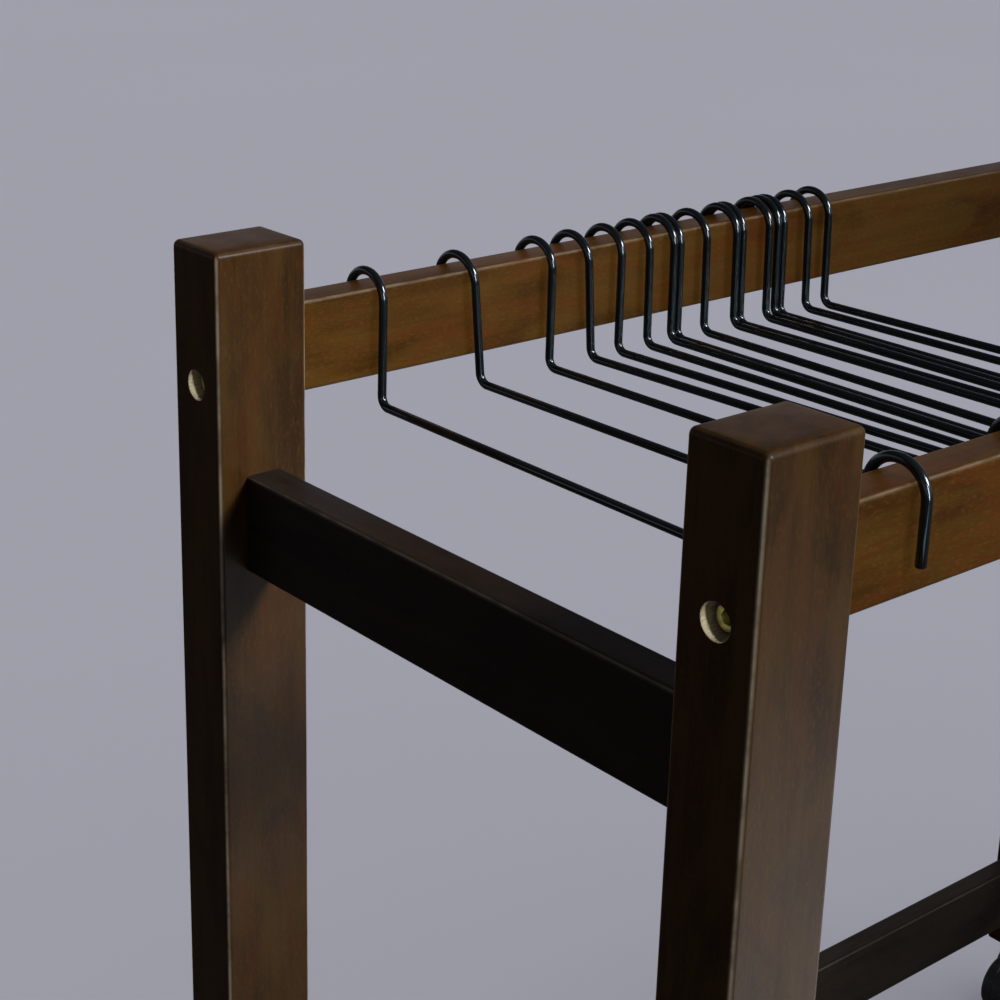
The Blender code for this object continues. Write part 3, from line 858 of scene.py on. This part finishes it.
def make_casters():
    shank_end = FORK_OUTER_HALF + FIT
    axle_end = shank_end + AXLE_HEAD_HIGH
    rivet = eased([(0, axle_end), (AXLE_HEAD_R, axle_end), (AXLE_HEAD_R, shank_end),
                   (AXLE_R, shank_end), (AXLE_R, -shank_end),
                   (AXLE_HEAD_R, -shank_end), (AXLE_HEAD_R, -axle_end), (0, -axle_end)], AXLE_EASE)
    collar_top = LEG_BOTTOM - FIT
    stem = eased([(0, STEM_TOP), (STEM_R, STEM_TOP), (STEM_R, collar_top), (COLLAR_R, collar_top),
                  (COLLAR_R, COLLAR_LOW), (STEM_NECK_R, COLLAR_LOW), (STEM_NECK_R, RIVET_TOP),
                  (RIVET_R, RIVET_TOP), (RIVET_R, RIVET_LOW), (0, RIVET_LOW)], STEM_EASE)
    for end, sx in ENDS:
        for face, sy in FACES:
            name = f"caster_{face}_{end}"
            stand = Matrix.Translation((sx * CASTER_X, sy * LEG_CENTRE_Y, 0))
            swivel = stand @ Matrix.Rotation(math.pi if sx > 0 else 0.0, 4, "Z")
            axle = swivel @ Matrix.Translation((TRAIL, 0, WHEEL_R)) @ Matrix.Rotation(math.pi / 2, 4, "X")
            mesh = even_normals(turned("stem", stem, stand, FASTENER_STEPS), SHARP_TURNED)
            show(name + "_stem", mesh, (BRIGHT_ZINC,), name + "_stem")
            mesh = even_normals(turned("axle", rivet, axle, FASTENER_STEPS), SHARP_TURNED)
            show(name + "_axle", mesh, (BRIGHT_ZINC,), name + "_axle")
            show(name + "_fork", fork_mesh(swivel), (BLACK_PLATE,), name + "_fork")
            mesh = even_normals(turned("wheel", wheel_outline(), axle, WHEEL_STEPS), SHARP_WHEEL)
            show(name + "_wheel", mesh, (RUBBER,), name + "_wheel")


# ---------------------------------------------------------------- studio

def add_lamp(name, kind, energy, colour, place, aim, receivers, **settings):
    """A lamp that shines from its place towards its aim, on one collection."""
    data = bpy.data.lights.new(name, kind)
    data.energy = energy
    data.color = colour
    for key, value in settings.items():
        setattr(data, key, value)
    lamp = bpy.data.objects.new(name, data)
    lamp.location = place
    lamp.rotation_euler = (Vector(place) - Vector(aim)).to_track_quat("Z", "Y").to_euler()
    lamp.visible_camera = False
    bpy.context.scene.collection.objects.link(lamp)
    lamp.light_linking.receiver_collection = receivers
    return lamp


def grouped(name, objects):
    group = bpy.data.collections.new(name)
    for obj in objects:
        group.objects.link(obj)
    return group


def make_studio(legs, bores, bolts, wires):
    """A pale floor under its own soft light, and lights for the rack, most of them from the front."""
    bm = bmesh.new()
    bmesh.ops.create_circle(bm, cap_ends=True, segments=FLOOR_SIDES, radius=FLOOR_R)
    ground = bpy.data.objects.new("studio_floor", mesh_from("studio_floor", bm))
    ground.data.materials.append(studio_floor())
    ground.visible_glossy = False
    ground.visible_diffuse = False
    rack = grouped("rack", [obj for obj in bpy.context.scene.objects if obj.type == "MESH"])
    bpy.context.scene.collection.objects.link(ground)
    centre = (0, 0, HEIGHT / 2)

    key = add_lamp("key", "SUN", energy=0.92, colour=WARM, place=KEY_PLACE, aim=centre,
                   receivers=rack, angle=math.radians(20))
    key.visible_glossy = False
    spot = add_lamp("key_spot", "SPOT", energy=670, colour=WARM, place=SPOT_PLACE, aim=SPOT_AIM,
                    receivers=rack, spot_size=math.radians(18.5), spot_blend=1.0, shadow_soft_size=0.4)
    spot.visible_glossy = False
    solid = [piece for piece in rack.objects if piece not in wires]
    spot.light_linking.blocker_collection = grouped("spot_blockers", solid)
    glint = add_lamp("glint", "SUN", energy=4.0, colour=(0.93, 0.97, 1.0), place=KEY_PLACE, aim=centre,
                     receivers=rack, angle=math.radians(19))
    glint.visible_diffuse = False
    fill = add_lamp("back_fill", "SUN", energy=1.4, colour=(0.96, 0.98, 1.0), place=BACK_FILL_PLACE,
                    aim=centre, receivers=rack, angle=math.radians(50))
    fill.visible_glossy = False
    add_lamp("floor_wash", "SUN", energy=1.99, colour=WHITE, place=FLOOR_WASH_PLACE, aim=ORIGIN,
             receivers=grouped("floor", [ground]), angle=math.radians(120))
    add_lamp("bore_light", "SUN", energy=3.4, colour=CREAM, place=BORE_LIGHT_PLACE, aim=ORIGIN,
             receivers=grouped("bores", bores), angle=math.radians(6))
    add_lamp("bolt_light", "SUN", energy=1.6, colour=CREAM, place=BOLT_LIGHT_PLACE, aim=ORIGIN,
             receivers=grouped("bolts", bolts), angle=math.radians(12))
    sheen = add_lamp("low_card", "AREA", energy=3.8, colour=(0.97, 0.98, 1.0), place=LOW_CARD_PLACE,
                     aim=LOW_CARD_AIM, receivers=grouped("legs", legs),
                     shape="RECTANGLE", size=1.1, size_y=0.62)
    wire_group = grouped("wires", wires)
    strip = add_lamp("strip", "AREA", energy=42, colour=(0.82, 0.92, 1.0), place=STRIP_PLACE,
                     aim=STRIP_AIM, receivers=wire_group, shape="RECTANGLE", size=0.30, size_y=1.2)
    line = add_lamp("wire_card", "AREA", energy=2.6, colour=(0.55, 0.8, 1.0), place=WIRE_CARD_PLACE,
                    aim=WIRE_CARD_AIM, receivers=wire_group, shape="RECTANGLE", size=0.35, size_y=1.6)
    for card in (sheen, strip, line):
        card.visible_diffuse = False


def make_surroundings():
    """The light from all round, which is dim above and below a pale ring along the horizon."""
    world = bpy.data.worlds.new("studio")
    world.use_nodes = True
    tree = world.node_tree
    split = tree.nodes.new("ShaderNodeSeparateXYZ")
    lift = tree.nodes.new("ShaderNodeMapRange")
    ramp = tree.nodes.new("ShaderNodeValToRGB")
    lift.inputs["From Min"].default_value = -1.0
    tree.links.new(tree.nodes.new("ShaderNodeTexCoord").outputs["Generated"], split.inputs[0])
    tree.links.new(split.outputs["Z"], lift.inputs["Value"])
    tree.links.new(lift.outputs["Result"], ramp.inputs["Fac"])
    tree.links.new(ramp.outputs["Color"], tree.nodes["Background"].inputs["Color"])
    stops = ramp.color_ramp.elements
    for stop, (position, colour) in zip(list(stops), SURROUNDINGS):
        stop.position = position
        stop.color = colour
    for position, colour in SURROUNDINGS[2:]:
        stops.new(position).color = colour
    bpy.context.scene.world = world
    bpy.context.scene.view_settings.view_transform = "Standard"


def make_camera():
    data = bpy.data.cameras.new("camera")
    data.lens = CAMERA_LENS
    data.sensor_width = CAMERA_SENSOR
    data.shift_x, data.shift_y = CAMERA_SHIFT
    data.clip_start, data.clip_end = CAMERA_CLIP
    camera = bpy.data.objects.new("camera", data)
    camera.location = CAMERA_PLACE
    camera.rotation_euler = tuple(math.radians(turn) for turn in CAMERA_TURN)
    bpy.context.scene.collection.objects.link(camera)
    bpy.context.scene.camera = camera


legs = make_legs()
bores = make_bores()
make_rails()
make_stretchers()
bolts = make_fasteners()
wires = make_wires()
make_casters()
make_studio(legs, bores, bolts, wires)
make_surroundings()
make_camera()
